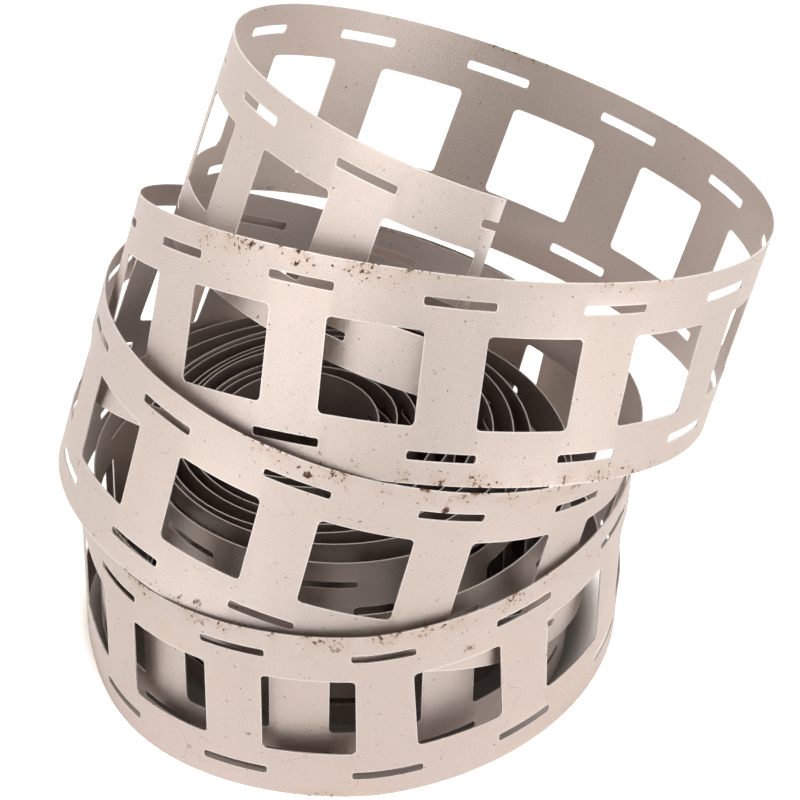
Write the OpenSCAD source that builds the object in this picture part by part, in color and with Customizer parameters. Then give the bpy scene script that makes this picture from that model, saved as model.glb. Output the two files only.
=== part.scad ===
// Punched nickel strip for joining cells two by two: one long ladder-shaped strip, wound into
// a loose flat coil whose outer turns have sprung up into a leaning spring.

/* [Strip] */
// Width of the strip, from edge to edge
strip_w = 26; // [22:0.5:36]
// Thickness of the rolled nickel
strip_t = 0.15; // [0.1:0.05:0.3]
// Distance from one crossbar to the next
pitch = 19; // [17:0.5:23]
// Number of pitches in the whole strip
pitches = 101; // [60:1:104]

/* [Punching] */
// Length of a window along the strip
window_l = 11.6; // [8:0.1:13]
// Height of a window across the strip
window_h = 11.8; // [8:0.1:13]
// Length of a welding slot along the strip
slot_l = 8.4; // [7.8:0.1:11]
// Width of a welding slot
slot_w = 1.1; // [0.6:0.1:2]
// Distance from the strip's edge to the middle of its slots
slot_inset = 3.5; // [2:0.1:4.5]
// Number of crossbars from the free end that have their slots modelled
slotted = 36; // [20:1:40]
// What the shears left of the crossbar at the free end
end_bar = 1.4; // [0.5:0.1:3]

/* [Flat coil] */
// Radius of the floor turn to the middle of the strip, where the strip leaves the floor
floor_r = 36.1; // [30:0.1:45]
// How far the flat coil steps in from the floor turn
step_in = 8; // [5:0.1:11]
// Distance from one flat turn to the next
turn_gap = 1.85; // [1.4:0.05:1.9]
// How far each flat turn's middle lies from that of the turn around it, to the right and to the back
turn_shift = [-0.6, 0.3]; // [-1:0.1:1]
// How far the flat coil's middle swings out on the way in, to the right and to the back
swing = [-1.2, -2.3]; // [-5:0.1:2]
// Number of turns over which the strip settles into the flat coil
settle = 0.5; // [0.3:0.1:1]
// Number of turns from the floor turn to the end of the swing
swing_turns = 0.6; // [0.4:0.1:1]
// How far the second flat turn lies out again, next to the floor turn
lie_out = 3.6; // [2:0.1:3.7]
// Number of turns in from the floor turn to where it lies out the most
lie_out_at = 1; // [0.98:0.01:1.05]
// Number of turns over which it lies out
lie_out_turns = 0.44; // [0.35:0.01:0.45]
// How far the inner turns' middle then moves over, to the right and to the back
move_over = [1.2, 2.4]; // [-1:0.1:2.5]
// Number of turns in from the floor turn to the middle of that move
move_at = 1.3; // [1.25:0.05:1.5]
// Number of turns over which the inner turns move over
move_turns = 0.2; // [0.15:0.05:0.3]

/* [Pulled turns] */
// Number of turns that have sprung up off the floor
pulled_turns = 3; // [2:0.05:3]
// How far the turns lie to the right, at equal steps from the floor to the free end
right_shift = [0, 3, 3.7, 12.6, 14.9]; // [0:0.1:25]
// How far they lie to the back
back_shift = [0, 0.7, 1.4, 11.5, 4.8]; // [-5:0.1:25]
// How far they are lifted
lift = [0, 15.6, 17.8, 40.9, 44.4]; // [0:0.1:50]
// How much wider they are than the turn on the floor
spread = [0, -0.4, -3.3, 3.9, -8.4]; // [-12:0.1:8]
// How far they lean to the right, in degrees
right_lean = [0, 15.2, 15.8, 18.9, 19]; // [0:0.1:25]
// How far they lean to the back, in degrees
back_lean = [0, 4.8, 15, 20.4, 17.9]; // [0:0.1:25]
// Direction of the free end, in degrees counter-clockwise from the right
end_angle = -82.1; // [-180:0.1:180]

/* [Hidden] */

// Width of a crossbar and of the rail on each side of the windows
bar = pitch - window_l;
rail = (strip_w - window_h) / 2;
// Step in turns over which a direction along the path is taken
nudge = 0.002;

// Value on a smooth curve through the numbers of a list, at position g from 0 to the last one
function item(list, i) = list[max(0, min(len(list) - 1, i))];
function through(list, g) =
    let (i = min(floor(g), len(list) - 2), f = g - i)
    let (a = item(list, i - 1), b = item(list, i), c = item(list, i + 1), d = item(list, i + 2))
    b + f / 2 * (c - a + f * (2 * a - 5 * b + 4 * c - d + f * (3 * (b - c) + d - a)));
function unit(v) = v / norm(v);

// The path of the strip's middle line. t counts turns: 0 where the strip leaves the floor, above
// 0 in the pulled turns, below 0 in the flat coil.
function step_of(t) = max(t, 0) / pulled_turns * (len(lift) - 1);
function settled(t) = 1 - exp(min(t, 0) / settle);
function swung(t) = let (x = -min(t, 0) / swing_turns) x * exp(1 - x);
function lain_out(t) = lie_out * exp(-pow((t + lie_out_at) / lie_out_turns, 2));
function moved(t) = 1 / (1 + exp((t + move_at) / move_turns));
function axis_at(t) =
    let (g = step_of(t))
    unit([tan(through(right_lean, g)), tan(through(back_lean, g)), 1]);
function centre_at(t) =
    let (g = step_of(t))
    [through(right_shift, g), through(back_shift, g), strip_w / 2 + through(lift, g)]
    + concat(swing * swung(t) - turn_shift * min(t, 0) + move_over * moved(t), 0);
function radius_at(t) =
    floor_r + through(spread, step_of(t)) + turn_gap * min(t, 0) - step_in * settled(t) + lain_out(t);
function spot(t) =
    let (axis = axis_at(t), turn = end_angle - 360 * (pulled_turns - t))
    let (u = unit([1, 0, 0] - axis * axis.x), v = cross(axis, u))
    centre_at(t) + radius_at(t) * (cos(turn) * u + sin(turn) * v);
function along(t) = (spot(t - nudge) - spot(t + nudge)) / (2 * nudge);
function across(t) =
    let (axis = axis_at(t), dir = unit(along(t)))
    unit(axis - dir * (axis * dir));

// Lines across the strip, as distances from the middle of the crossbar at the free end. They lie
// on the ends of every window and slot, with one more in the middle of each bar and window.
end_cut = bar / 2 - end_bar;
slotted_lines = [-slot_l / 2, -bar / 2, 0, bar / 2, slot_l / 2, pitch / 2];
plain_lines = [-bar / 2, 0, bar / 2, pitch / 2];
lines = concat(
    [end_cut],
    [for (x = slotted_lines) if (x > end_cut) x],
    [for (k = [1 : slotted - 1], x = slotted_lines) k * pitch + x],
    [for (k = [slotted : pitches - 1], x = plain_lines) k * pitch + x]
);
last = len(lines) - 1;
// Place of each line on the path, in turns, stepped along the path's true length
function further(t, length) =
    let (half = t - length / 2 / norm(along(t)))
    t - length / norm(along(half));
turns = [for (i = 0, t = further(pulled_turns, end_cut); i <= last;
    t = i < last ? further(t, lines[i + 1] - lines[i]) : t, i = i + 1) t];

// Levels from edge to edge: both edges, both sides of each slot row, and the windows
levels = [for (x = [0, slot_inset - slot_w / 2, slot_inset + slot_w / 2, rail]) x - strip_w / 2];
heights = concat(levels, [for (i = [3 : -1 : 0]) -levels[i]]);
top = len(heights) - 1;
function point(i, face, level) = (i * 2 + face) * len(heights) + level;
points = [for (t = turns)
    let (mid = spot(t), w = across(t), out = cross(w, unit(along(t))) * strip_t / 2)
    for (face = [1, -1], h = heights) mid + w * h + out * face];

// Rows of cells in the column after line i, as pairs of levels
slot_rows = [for (a = [0 : top - 1]) [a, a + 1]];
plain_rows = [[0, 3], [3, 4], [4, top]];
function has_slots(i) = lines[i] < (slotted - 0.5) * pitch - nudge;
function rows(i) = has_slots(i) ? slot_rows : plain_rows;
// Whether the metal is punched away in the column after line i, at height h
function punched(i, h) =
    let (s = (lines[i] + lines[i + 1]) / 2, off = abs(s - pitch * round(s / pitch)))
    (abs(h) < window_h / 2 && off > bar / 2) ||
    (has_slots(i) && abs(abs(h) - strip_w / 2 + slot_inset) < slot_w / 2 && off < slot_l / 2);
function metal(i, h) = i >= 0 && i < last && abs(h) < strip_w / 2 && !punched(i, h);
// Points of one face on line i from level a to level b, with the levels that the slots need
function edge(i, face, a, b) =
    i > 0 && has_slots(i - 1)
        ? [for (l = [a : b]) point(i, face, l)]
        : [point(i, face, a), point(i, face, b)];
function reversed(list) = [for (i = [len(list) - 1 : -1 : 0]) list[i]];
// Triangles of a loop, and the same loop turned over about its first point
function fan(loop) = [for (i = [1 : len(loop) - 2]) [loop[0], loop[i], loop[i + 1]]];
function turned(loop) = [for (i = [len(loop) : -1 : 1]) loop[i % len(loop)]];
function side(i, face, a, b) = concat(edge(i + 1, face, a, b), reversed(edge(i, face, a, b)));
// Faces of one cell: its two sides, and a wall wherever the metal ends
function cell(i, a, b) =
    let (mid = (heights[a] + heights[b]) / 2)
    let (below = a == 0 ? -strip_w : (heights[a - 1] + heights[a]) / 2)
    let (above = b == top ? strip_w : (heights[b] + heights[b + 1]) / 2)
    !metal(i, mid) ? [] : concat(
        fan(side(i, 0, a, b)),
        fan(turned(side(i, 1, a, b))),
        metal(i, below) ? [] : fan([point(i, 1, a), point(i + 1, 1, a), point(i + 1, 0, a), point(i, 0, a)]),
        metal(i, above) ? [] : fan([point(i, 0, b), point(i + 1, 0, b), point(i + 1, 1, b), point(i, 1, b)]),
        metal(i - 1, mid) ? [] : fan(concat(edge(i, 0, a, b), reversed(edge(i, 1, a, b)))),
        metal(i + 1, mid) ? [] : fan(concat(edge(i + 1, 1, a, b), reversed(edge(i + 1, 0, a, b))))
    );
faces = [for (i = [0 : last - 1], r = rows(i), f = cell(i, r[0], r[1])) f];

module nickel_strip() {
    color([0.80, 0.77, 0.74]) polyhedron(points, faces);
}

nickel_strip();
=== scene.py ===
import math

import bpy
import numpy as np
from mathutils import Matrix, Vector
from mathutils.geometry import delaunay_2d_cdt


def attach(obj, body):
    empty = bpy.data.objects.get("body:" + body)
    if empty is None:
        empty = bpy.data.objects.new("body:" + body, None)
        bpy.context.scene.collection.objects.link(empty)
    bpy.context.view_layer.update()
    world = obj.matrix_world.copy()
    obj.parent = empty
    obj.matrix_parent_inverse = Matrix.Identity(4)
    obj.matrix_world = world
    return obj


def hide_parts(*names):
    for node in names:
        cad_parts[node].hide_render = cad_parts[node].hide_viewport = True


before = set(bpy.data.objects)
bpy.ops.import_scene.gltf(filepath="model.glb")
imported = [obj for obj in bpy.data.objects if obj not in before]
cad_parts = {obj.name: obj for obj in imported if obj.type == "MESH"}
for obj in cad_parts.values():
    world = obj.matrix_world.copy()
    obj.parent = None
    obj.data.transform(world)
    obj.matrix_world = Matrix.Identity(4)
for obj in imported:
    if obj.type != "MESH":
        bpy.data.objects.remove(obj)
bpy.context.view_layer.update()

# The view: a long lens in front of the coil, looking down at it by a little less than forty
# degrees, with the floor turn at the bottom of a square picture.
view_drop = math.radians(37.97)
view_distance = 0.526
view_target = Vector((0.0081, 0, 0.03393))
lens_pixels, picture_pixels = 4207.5, 800
film_width = 36
sight = Vector((0, math.cos(view_drop), -math.sin(view_drop)))
view = bpy.data.objects.new("view", bpy.data.cameras.new("view"))
view.data.sensor_width = film_width
view.data.lens = film_width * lens_pixels / picture_pixels
view.data.clip_start, view.data.clip_end = 0.01, 20
view.location = view_target - sight * view_distance
view.rotation_euler = sight.to_track_quat("-Z", "Y").to_euler()
bpy.context.scene.collection.objects.link(view)
bpy.context.scene.camera = view

# The strip: one ribbon of rolled nickel, punched as a ladder with square windows and a welding
# slot in both rails at every crossbar. It is wound flat, and its outer turns have sprung up.
MM = 0.001
strip_w, strip_t, pitch, pitches = 26.0, 0.15, 19.0, 101
window_l, window_h, window_r = 11.6, 11.8, 0.65
slot_l, slot_w, slot_r, slot_inset = 8.4, 1.1, 0.3, 3.5
end_bar = 1.4
bar = pitch - window_l
floor_r, step_in, turn_gap, settle = 36.1, 8.0, 1.85, 0.5
swing, swing_turns, turn_shift = (-1.2, -2.3), 0.6, (-0.6, 0.3)
lie_out, lie_out_at, lie_out_turns = 3.6, 1.0, 0.44
move_over, move_at, move_turns = (1.2, 2.4), 1.3, 0.2
pulled_turns, end_angle = 3.0, -82.1
right_shift = (0, 3, 3.7, 12.6, 14.9)
back_shift = (0, 0.7, 1.4, 11.5, 4.8)
lift = (0, 15.6, 17.8, 40.9, 44.4)
spread = (0, -0.4, -3.3, 3.9, -8.4)
right_lean = (0, 15.2, 15.8, 18.9, 19)
back_lean = (0, 4.8, 15, 20.4, 17.9)
# Where the flat turns lie in or out of that rule: by so much, so many turns in, over so many turns
nestled = ((-1.78, 0.232, 0.072), (0.53, 0.455, 0.13), (1.47, 1.062, 0.154))
hitched_up, hitched_at, hitched_turns = 1.3, 1.1, 0.2
# Deep in the coil the turns are slack, and wander up and out: by so much, so fast, from such a start
slack_from, slack_over = 1.56, 0.6
wander_up, wander_up_rate = 0.35, 7.6
wander_out = ((0.25, 8.7, 0), (0.15, 16.5, 1))


def through(values, g):
    """A smooth curve through the values, at place g from 0 to the last one."""
    values = np.asarray(values, float)
    i = np.minimum(np.floor(g).astype(int), len(values) - 2)
    f = g - i
    a, b, c, d = (values[np.clip(i + k, 0, len(values) - 1)] for k in (-1, 0, 1, 2))
    return b + f / 2 * (c - a + f * (2 * a - 5 * b + 4 * c - d + f * (3 * (b - c) + d - a)))


def unit(v):
    return v / np.linalg.norm(v, axis=1)[:, None]


def swell(t, at, over):
    """1 where the strip is so many turns in, and 0 away from there."""
    return np.exp(-((t + at) / over) ** 2)


def strip_path(t):
    """Middle line of the strip and its direction across, at t turns above the floor."""
    g = np.maximum(t, 0) / pulled_turns * (len(lift) - 1)
    flat = np.minimum(t, 0)
    x = -flat / swing_turns
    swung = x * np.exp(1 - x)
    moved = 1 / (1 + np.exp((t + move_at) / move_turns))
    slack = np.clip((-flat - slack_from) / slack_over, 0, 1)
    lean = [np.tan(np.radians(through(v, g))) for v in (right_lean, back_lean)]
    axis = unit(np.stack([*lean, np.ones_like(t)], 1))
    u = unit(np.array([1.0, 0, 0]) - axis * axis[:, :1])
    v = np.cross(axis, u)
    right, back = (
        through(shift, g) + swing[i] * swung - turn_shift[i] * flat + move_over[i] * moved
        for i, shift in enumerate((right_shift, back_shift)))
    up = strip_w / 2 + through(lift, g) + hitched_up * swell(t, hitched_at, hitched_turns)
    up += slack * wander_up * (1 + np.sin(wander_up_rate * t))
    radius = floor_r + through(spread, g) + turn_gap * flat - step_in * (1 - np.exp(flat / settle))
    radius += lie_out * swell(t, lie_out_at, lie_out_turns)
    radius += sum(by * swell(t, at, over) for by, at, over in nestled)
    radius += slack * sum(by * np.sin(rate * t + begin) for by, rate, begin in wander_out)
    turn = np.radians(end_angle - 360 * (pulled_turns - t))
    spoke = np.cos(turn)[:, None] * u + np.sin(turn)[:, None] * v
    spot = np.stack([right, back, up], 1) + radius[:, None] * spoke
    along = unit(np.gradient(spot, axis=0))
    return spot, unit(axis - along * np.sum(axis * along, 1)[:, None])


# Its path as a line of points, evenly spaced along its length from the free end
core_turns, fine_points, path_step, spare = 11, 40000, 0.7, 1
spot, across = strip_path(np.linspace(pulled_turns, -core_turns, fine_points))
length = np.concatenate([[0], np.cumsum(np.linalg.norm(np.diff(spot, axis=0), axis=1))])
steps = np.arange(0, (pitches - 0.5) * pitch + spare, path_step)


def evenly(values):
    return np.stack([np.interp(steps, length, values[:, i]) for i in range(3)], 1)


path_mesh = bpy.data.meshes.new("strip_path")
path_mesh.from_pydata(evenly(spot) * MM, [(i, i + 1) for i in range(len(steps) - 1)], [])
across_data = path_mesh.attributes.new("across", "FLOAT_VECTOR", "POINT")
across_data.data.foreach_set("vector", evenly(across).ravel())
path = bpy.data.objects.new("strip_path", path_mesh)
bpy.context.scene.collection.objects.link(path)

# One crossbar of the ladder: how its corners are rounded, the burr that the punch left along each
# rim, and the lines across it on which it bends
window_corner, slot_corner = 5, 4
rim_w, burr = 0.18, 0.025
bend_lines = 11
on_line, same_point = 1e-3, 1e-4


def ring(cx, cy, r, start, end, count):
    return [(cx + r * math.cos(math.radians(a)), cy + r * math.sin(math.radians(a)))
            for a in np.linspace(start, end, count)]


def window_edge(side, grow):
    """Rim of the half window on one side of a crossbar, grown by so much into the metal."""
    cx, cy, r = bar / 2 + window_r, window_h / 2 - window_r, window_r + grow
    half = [(pitch / 2, -window_h / 2 - grow),
            *ring(cx, -cy, r, 270, 180, window_corner), *ring(cx, cy, r, 180, 90, window_corner),
            (pitch / 2, window_h / 2 + grow)]
    return [(side * x, y) for x, y in half]


def slot_edge(side, grow):
    """Rim of the slot in one rail, grown by so much into the metal."""
    cx, cy, r = slot_l / 2 - slot_r, slot_w / 2 - slot_r, slot_r + grow
    row = side * (strip_w / 2 - slot_inset)
    corners = ((cx, row - cy, -90), (cx, row + cy, 0), (-cx, row + cy, 90), (-cx, row - cy, 180))
    return [point for x, y, a in corners for point in ring(x, y, r, a, a + 90, slot_corner)]


def punched_bar(name, start, end, closed):
    """One crossbar with its rails and half windows, laid flat, from start to end along the strip."""
    points, edges, holes = [], [], []

    def chain(line, loop):
        first = len(points)
        points.extend(line)
        edges.extend((first + i, first + i + 1) for i in range(len(line) - 1))
        if loop:
            edges.append((first + len(line) - 1, first))
        return list(range(first, len(points)))

    for side in (-1, 1):
        holes.append(chain(window_edge(side, 0)[::-side], True))
        holes.append(chain(slot_edge(side, 0), True))
        chain(window_edge(side, rim_w), False)
        chain(slot_edge(side, rim_w), True)
        for y in (strip_w / 2, strip_w / 2 - rim_w):
            chain([(-pitch / 2, side * y), (pitch / 2, side * y)], False)
    for x in sorted({*np.linspace(-pitch / 2, pitch / 2, bend_lines), start, end}):
        chain([(x, -strip_w / 2), (x, strip_w / 2)], False)
    flat, _, faces, _, _, sources = delaunay_2d_cdt(
        [Vector(p) for p in points], edges, holes, 0, same_point)
    metal = []
    for face, source in zip(faces, sources):
        x = sum(flat[i].x for i in face) / 3
        if not source and start < x < end:
            metal.append(face)
    # A rim is an edge with metal on one side only, other than where the next crossbar goes on
    used = {pair: True for face in metal for pair in zip(face, face[1:] + face[:1])}
    joined = [x for x, shut in zip((start, end), closed) if not shut]
    rims = [(a, b) for a, b in used if (b, a) not in used
            and not any(abs(flat[a].x - x) < on_line and abs(flat[b].x - x) < on_line for x in joined)]
    on_rim = {i for pair in rims for i in pair}
    kept = sorted({i for face in metal for i in face})
    place = {old: new for new, old in enumerate(kept)}
    n = len(kept)
    verts = [(flat[i].x * MM, flat[i].y * MM, (strip_t / 2 + (burr if i in on_rim else 0)) * MM)
             for i in kept]
    verts += [(flat[i].x * MM, flat[i].y * MM, -strip_t / 2 * MM) for i in kept]
    top = [tuple(place[i] for i in face) for face in metal]
    under = [tuple(n + i for i in reversed(face)) for face in top]
    walls = [(n + place[a], n + place[b], place[b], place[a]) for a, b in rims]
    mesh = bpy.data.meshes.new(name)
    mesh.from_pydata(verts, [], top + under + walls)
    rim = mesh.attributes.new("rim", "FLOAT", "POINT")
    rim.data.foreach_set("value", [float(i in on_rim) for i in kept] * 2)
    piece = bpy.data.objects.new(name, mesh)
    bpy.context.scene.collection.objects.link(piece)
    return piece


cut_end = punched_bar("cut_end", bar / 2 - end_bar, pitch / 2, (True, False))
one_bar = punched_bar("one_bar", -pitch / 2, pitch / 2, (False, False))
core_end = punched_bar("core_end", -pitch / 2, pitch / 2, (False, True))


class Wire:
    """A node's output, so that the maths of a node tree is written as a formula."""

    def __init__(self, tree, socket):
        self.tree, self.socket = tree, socket

    def node(self, kind, settings=None, inputs=None, out=0):
        """Any node: its settings first, then the values or links of its sockets."""
        made = self.tree.nodes.new(kind)
        for key, value in (settings or {}).items():
            setattr(made, key, value)
        for key, value in (inputs or {}).items():
            if isinstance(value, Wire):
                self.tree.links.new(value.socket, made.inputs[key])
            else:
                made.inputs[key].default_value = value
        return Wire(self.tree, made.outputs[out])

    def other(self, key):
        """Another output of the same node."""
        return Wire(self.tree, self.socket.node.outputs[key])

    def math(self, operation, *others):
        return self.node("ShaderNodeMath", {"operation": operation}, dict(enumerate((self, *others))))

    def __add__(self, other): return self.math("ADD", other)
    def __radd__(self, other): return self.math("ADD", other)
    def __sub__(self, other): return self.math("SUBTRACT", other)
    def __rsub__(self, other): return (self * -1).math("ADD", other)
    def __mul__(self, other): return self.math("MULTIPLY", other)
    def __rmul__(self, other): return self.math("MULTIPLY", other)

    def vector(self, operation, *others, scale=None):
        inputs = dict(enumerate((self, *others)))
        if scale is not None:
            inputs["Scale"] = scale
        return self.node("ShaderNodeVectorMath", {"operation": operation}, inputs)

    def step(self, low, high):
        """0 below low, 1 above high, with a soft slope between; low may be the larger."""
        return self.node("ShaderNodeMapRange", {"interpolation_type": "SMOOTHSTEP"},
                         {"Value": self, "From Min": low, "From Max": high})

    def mix(self, one, two):
        """Colour one where this is 0, and two where it is 1."""
        return self.node("ShaderNodeMix", {"data_type": "RGBA"}, {"Factor": self, 6: one, 7: two}, out=2)


# Satin nickel with a sandy grain, a painted highlight along the punched rims, fine pits and hair
# scratches. Lengths of its edge were bare and rusted; places are in mm along the strip from the free end,
# and across it.
grey_nickel, warm_nickel = (0.664, 0.582, 0.549, 1), (0.674, 0.585, 0.534, 1)
grain_low, grain_high = (0.91, 0.91, 0.91, 1), (1.05, 1.045, 1.04, 1)
# The rim colour is a painted highlight: the thin punched edges are drawn bright, as where they catch the
# light
painted_rim_highlight, dark_pit, brown_hair = (0.93, 0.89, 0.86, 1), (0.11, 0.08, 0.06, 1), (0.30, 0.20, 0.14, 1)
tan_rust, red_rust = (0.40, 0.27, 0.18, 1), (0.15, 0.055, 0.032, 1)
pale_stain, bare_edge = (0.66, 0.54, 0.38, 1), (0.52, 0.38, 0.28, 1)
# First and last place of each bare length, the edge that it is on, and how deep it reaches
rusty_edges = ((232, 264, 1, 3.4), (203, 217, 1, 2.0), (196, 242, -1, 3.2),
               (416, 464, 1, 2.6), (640, 702, 1, 3.2), (862, 905, 1, 2.4))
rusty_fade = 4
# Place along, place across and radius of each spot
rust_spots = ((254.2, 12.3, 0.55), (252.6, 12.2, 0.4), (247.6, 11.2, 0.25), (243.2, 11.9, 0.4),
              (239.6, 12.0, 0.4), (455.1, 11.2, 0.55), (456.2, 11.8, 0.3), (438.2, 10.3, 0.6),
              (657.2, 12.3, 0.35), (673.5, 12.0, 0.5))
tan_spots = ((466.5, -11.7, 0.6), (464.1, -11.4, 0.75), (450.3, 11.0, 0.3), (441.6, 11.0, 0.35),
             (242.5, -10.6, 0.45), (230.0, 1.0, 0.4), (682.1, -4.1, 0.5), (671.0, 10.9, 0.7),
             (654.0, 7.4, 0.8))
pale_stains = ((693.5, 7.6, 2.4), (645.1, 2.3, 1.7), (690.4, 6.6, 1.6))
nickel = bpy.data.materials.new("satin_nickel")
nickel.use_nodes = True
shader = nickel.node_tree.nodes["Principled BSDF"]
start = Wire(nickel.node_tree, None)
place = start.node("ShaderNodeAttribute", {"attribute_name": "strip"}, out="Vector")
rim = start.node("ShaderNodeAttribute", {"attribute_name": "rim"}, out="Fac")
s = start.node("ShaderNodeSeparateXYZ", None, {0: place})
v = s.other("Y")


def noise(scale, detail=2.0, rough=0.5):
    """Noise on the flat strip, with so many waves to a metre."""
    return start.node("ShaderNodeTexNoise", {"noise_dimensions": "2D"},
                      {"Vector": place, "Scale": scale, "Detail": detail, "Roughness": rough})


ragged_by = 1.2
ragged = noise(1300).other("Color").vector("SUBTRACT", (0.5, 0.5, 0.5))
moved = place.vector("ADD", ragged.vector("SCALE", scale=ragged_by * MM))


def spots(rows, soft):
    """Ragged spots at given places, each with its radius; soft is the full part of the radius."""
    marks = None
    for along, over, r in rows:
        middle = (along * MM, over * MM, strip_t / 2 * MM)
        mark = moved.vector("DISTANCE", middle).other("Value").step(r * MM, r * soft * MM)
        marks = mark if marks is None else marks.math("MAXIMUM", mark)
    return marks


grain = noise(5200, 3.0, 0.6)
tint = noise(60, 3.0).step(0.35, 0.7).mix(grey_nickel, warm_nickel)
tone = grain.step(0.3, 0.75).mix(grain_low, grain_high)
metal = start.node("ShaderNodeMix", {"data_type": "RGBA", "blend_type": "MULTIPLY"},
                   {"Factor": 1.0, 6: tint, 7: tone}, out=2)

edge = strip_w / 2
bare = None
for first, last, side, deep in rusty_edges:
    near = (v * side).step((edge - deep) * MM, edge * MM)
    near = near * s.step((first - rusty_fade) * MM, (first + rusty_fade) * MM)
    near = near * s.step((last + rusty_fade) * MM, (last - rusty_fade) * MM)
    bare = near if bare is None else bare + near
patchy = bare * noise(240).step(0.40, 0.60)
elsewhere = (edge * MM - v.math("ABSOLUTE")).step(1.4 * MM, 0.2 * MM) * noise(45).step(0.60, 0.75)
patchy = patchy.math("MAXIMUM", elsewhere * 0.7)
crumbs = noise(1500, 3.0, 0.65)
flakes = (crumbs + patchy * 0.18).step(0.71, 0.76)
red_spots = spots(rust_spots, 0.5)
light_spots = spots(tan_spots, 0.3) * crumbs.step(0.40, 0.55)
rust = flakes.math("MAXIMUM", red_spots).math("MAXIMUM", light_spots)
rust_tone = red_spots.math("MAXIMUM", noise(700).step(0.45, 0.62)).mix(tan_rust, red_rust)

# Pits in about a third of the cells of a grid, and hair scratches on the turns in front
from_pit = start.node("ShaderNodeTexVoronoi", {"voronoi_dimensions": "2D"},
                      {"Vector": place, "Scale": 330})
chosen = start.node("ShaderNodeSeparateColor", None, {0: from_pit.other("Color")})
pit_r = (chosen - 0.62) * 0.10
pits = (from_pit - pit_r).step(0.004, -0.004)
hair = (noise(210, 1.0) - 0.5).math("ABSOLUTE").step(0.006, 0.002) * noise(150, 1.0).step(0.60, 0.63)
hair = hair * s.step(400 * MM, 420 * MM) * s.step(720 * MM, 700 * MM)

stained = (spots(pale_stains, 0.2) * 0.30).mix(metal, pale_stain)
stained = (patchy * 0.30).mix(stained, bare_edge)
stained = (hair * 0.45).mix(stained, brown_hair)
# Painted highlight: the punched rims are coloured bright, as where the thin edges catch the light
rim_highlighted = (rim * 0.8).mix(stained, painted_rim_highlight)
pitted = (pits * 0.8).mix(rim_highlighted, dark_pit)
dull = rust.math("MAXIMUM", pits * 0.6)
grain_relief = start.node("ShaderNodeBump", None,
                          {"Strength": 0.9, "Distance": 0.05 * MM, "Height": grain})
for key, wire in (("Base Color", rust.mix(pitted, rust_tone)),
                  ("Roughness", 0.34 + grain * 0.14 + dull * 0.4),
                  ("Metallic", 1 - dull * 0.9),
                  ("Normal", grain_relief)):
    nickel.node_tree.links.new(wire.socket, shader.inputs[key])
shader.inputs["Anisotropic"].default_value = 0.35
shader.inputs["Anisotropic Rotation"].default_value = 0.25

# The tree lays the crossbars end to end and bends the ladder along the path
tree = bpy.data.node_groups.new("wound_ladder", "GeometryNodeTree")
tree.interface.new_socket("Geometry", in_out="INPUT", socket_type="NodeSocketGeometry")
given_sizes = (("Path", "Object", path), ("Crossbar", "Object", one_bar),
               ("Core end", "Object", core_end), ("Pitch", "Float", pitch * MM),
               ("Pitches", "Int", pitches), ("Finish", "Material", nickel))
sockets = {name: tree.interface.new_socket(name, in_out="INPUT", socket_type="NodeSocket" + kind).identifier
           for name, kind, _ in given_sizes}
tree.interface.new_socket("Geometry", in_out="OUTPUT", socket_type="NodeSocketGeometry")
start = Wire(tree, None)
given = {o.name: Wire(tree, o) for o in tree.nodes.new("NodeGroupInput").outputs}
path_line, bar_shape, core_shape = (
    start.node("GeometryNodeObjectInfo", None, {"Object": given[name]}, out="Geometry")
    for name in ("Path", "Crossbar", "Core end"))
line = start.node("GeometryNodeMeshToCurve", None, {0: path_line})
one_pitch = start.node("ShaderNodeCombineXYZ", None, {"X": given["Pitch"]})
row = start.node("GeometryNodeMeshLine", None,
                 {"Count": given["Pitches"] - 2, "Start Location": one_pitch, "Offset": one_pitch})
bars = start.node("GeometryNodeInstanceOnPoints", None, {"Points": row, "Instance": bar_shape})
last_at = start.node("ShaderNodeCombineXYZ", None, {"X": given["Pitch"] * (given["Pitches"] - 1)})
core = start.node("GeometryNodeTransform", None, {"Geometry": core_shape, "Translation": last_at})
join = tree.nodes.new("GeometryNodeJoinGeometry")
for part in (given["Geometry"], bars, core):
    tree.links.new(part.socket, join.inputs[0])
ladder = start.node("GeometryNodeRealizeInstances", None, {0: Wire(tree, join.outputs[0])})
ladder = start.node("GeometryNodeMergeByDistance", None, {0: ladder, "Distance": 0.002 * MM})
laid = start.node("GeometryNodeInputPosition")
ladder = start.node("GeometryNodeStoreNamedAttribute", {"data_type": "FLOAT_VECTOR", "domain": "POINT"},
                    {"Geometry": ladder, "Name": "strip", "Value": laid})
x = start.node("ShaderNodeSeparateXYZ", None, {0: laid})
across_line = start.node("GeometryNodeInputNamedAttribute", {"data_type": "FLOAT_VECTOR"},
                         {"Name": "across"})
there = start.node("GeometryNodeSampleCurve", {"data_type": "FLOAT_VECTOR", "mode": "LENGTH"},
                   {"Curves": line, "Value": across_line, "Length": x}, out="Position")
wide = there.other("Value")
out = wide.vector("CROSS_PRODUCT", there.other("Tangent")).vector("NORMALIZE")
bent = there.vector("ADD", wide.vector("SCALE", scale=x.other("Y")))
bent = bent.vector("ADD", out.vector("SCALE", scale=x.other("Z")))
ladder = start.node("GeometryNodeSetPosition", None, {"Geometry": ladder, "Position": bent})
ladder = start.node("GeometryNodeSetMaterial", None, {"Geometry": ladder, "Material": given["Finish"]})
tree.links.new(ladder.socket, tree.nodes.new("NodeGroupOutput").inputs[0])

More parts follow.
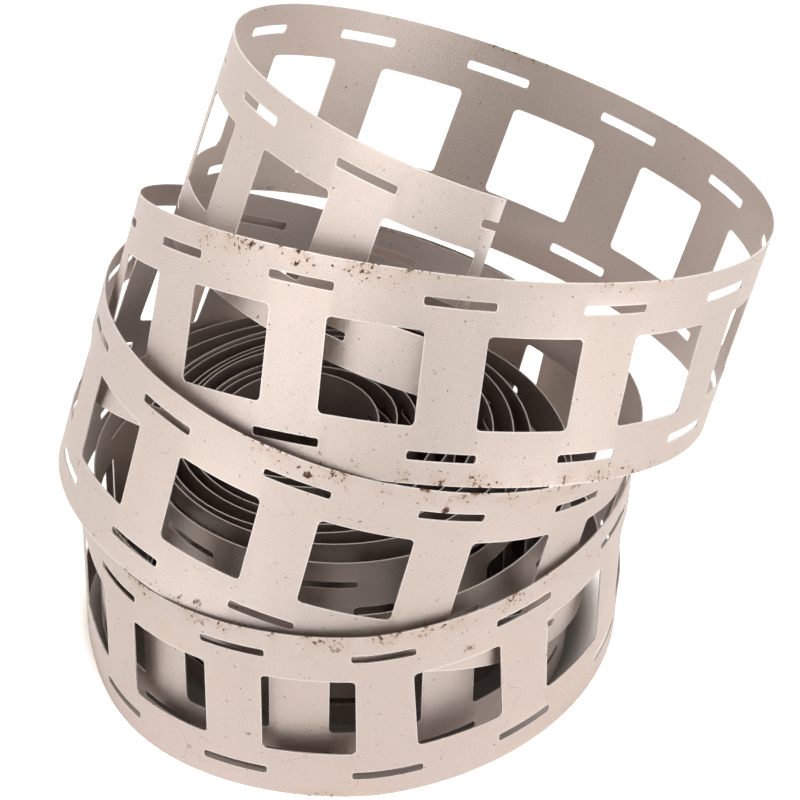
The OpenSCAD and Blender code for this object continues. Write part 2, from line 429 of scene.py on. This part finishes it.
winding = cut_end.modifiers.new("winding", "NODES")
winding.node_group = tree
for name, _, value in given_sizes:
    winding[sockets[name]] = value
bpy.context.view_layer.update()
wound = cut_end.evaluated_get(bpy.context.evaluated_depsgraph_get())
strip_mesh = bpy.data.meshes.new_from_object(wound)
strip_mesh.flip_normals()
strip_mesh.shade_smooth()
strip_mesh.set_sharp_from_angle(angle=math.radians(35))
for helper in (cut_end, one_bar, core_end, path):
    bpy.data.objects.remove(helper)
strip = bpy.data.objects.new("punched_strip", strip_mesh)
bpy.context.scene.collection.objects.link(strip)
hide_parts("nickel_strip")
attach(strip, "root")

# The floor: a plain sheet of white paper under the coil that runs far out of the picture. It is
# white to the eye and in the metal, and it keeps its shadow; in and under the coil it is painted dark, a
# painted shade.
sheet_half, sheet_level = 6.0, -0.00005
coil_middle, shade_full, shade_gone = (0.0005, 0, 0), 0.030, 0.0365
# The dark paper colour is a painted shade, given to the paper in and under the coil
paper_lit, paper_painted_shade = (0.80, 0.79, 0.78, 1), (0.30, 0.29, 0.28, 1)
paper_in_metal, paper_to_eye = (2.2, 2.2, 2.2, 1), (3.4, 3.4, 3.4, 1)
corners = ((-1, -1), (1, -1), (1, 1), (-1, 1))
floor_mesh = bpy.data.meshes.new("white_floor")
floor_mesh.from_pydata(
    [(x * sheet_half, y * sheet_half, sheet_level) for x, y in corners], [], [(0, 1, 2, 3)])
paper = bpy.data.materials.new("white_paper")
paper.use_nodes = True
paper.node_tree.nodes.clear()
start = Wire(paper.node_tree, None)
to_eye = start.node("ShaderNodeLightPath", out="Is Camera Ray")
in_metal = to_eye.other("Is Glossy Ray").math("MAXIMUM", to_eye.other("Is Transmission Ray"))
from_middle = start.node("ShaderNodeTexCoord", out="Object").vector("DISTANCE", coil_middle)
# Within this distance of the coil's middle the paper is painted dark, a painted shade
outside = from_middle.other("Value").step(shade_full, shade_gone)
white = to_eye.mix(in_metal.mix(paper_lit, paper_in_metal), paper_to_eye)
matt = start.node("ShaderNodeBsdfDiffuse", None, {"Color": outside.mix(paper_painted_shade, white)})
ending = paper.node_tree.nodes.new("ShaderNodeOutputMaterial")
paper.node_tree.links.new(matt.socket, ending.inputs["Surface"])
floor = bpy.data.objects.new("white_floor", floor_mesh)
floor_mesh.materials.append(paper)
bpy.context.scene.collection.objects.link(floor)

# The light: a soft box low in front on the left, a larger one on the right, and a room that is
# pale around the table and dim overhead, so that the coil is dark inside.
lit_point = Vector((0.008, 0.005, 0.035))
for name, stand, size, power in (("soft_box", Vector((-0.88, -0.8, 0.24)), 0.5, 1.5),
                                 ("side_box", Vector((1.0, -0.6, 0.3)), 0.6, 2.2)):
    lamp = bpy.data.lights.new(name, "AREA")
    lamp.shape, lamp.size, lamp.energy = "SQUARE", size, power
    holder = bpy.data.objects.new(name, lamp)
    holder.location = stand
    holder.rotation_euler = (lit_point - stand).to_track_quat("-Z", "Y").to_euler()
    bpy.context.scene.collection.objects.link(holder)
dim, pale = 0.07, 1.18
warm_wall, white_wall = (1, 0.97, 0.94, 1), (1, 1, 1, 1)
front, front_shade = (0.12, -0.99, 0), 0.5
room = bpy.data.worlds.new("pale_room")
bpy.context.scene.world = room
room.use_nodes = True
room_light = room.node_tree.nodes["Background"]
start = Wire(room.node_tree, None)
to_eye = start.node("ShaderNodeLightPath", out="Is Camera Ray")
around = start.node("ShaderNodeTexCoord", out="Generated")
overhead = start.node("ShaderNodeSeparateXYZ", None, {0: around}, out="Z").step(0.35, 0.85)
in_front = around.vector("DOT_PRODUCT", front).other("Value").step(0.90, 0.99)
level = (pale - overhead * (pale - dim)) * (1 - in_front * front_shade)
for key, wire in (("Color", to_eye.mix(warm_wall, white_wall)), ("Strength", level.math("MAXIMUM", to_eye))):
    room.node_tree.links.new(wire.socket, room_light.inputs[key])
bpy.context.scene.view_settings.view_transform = "Standard"
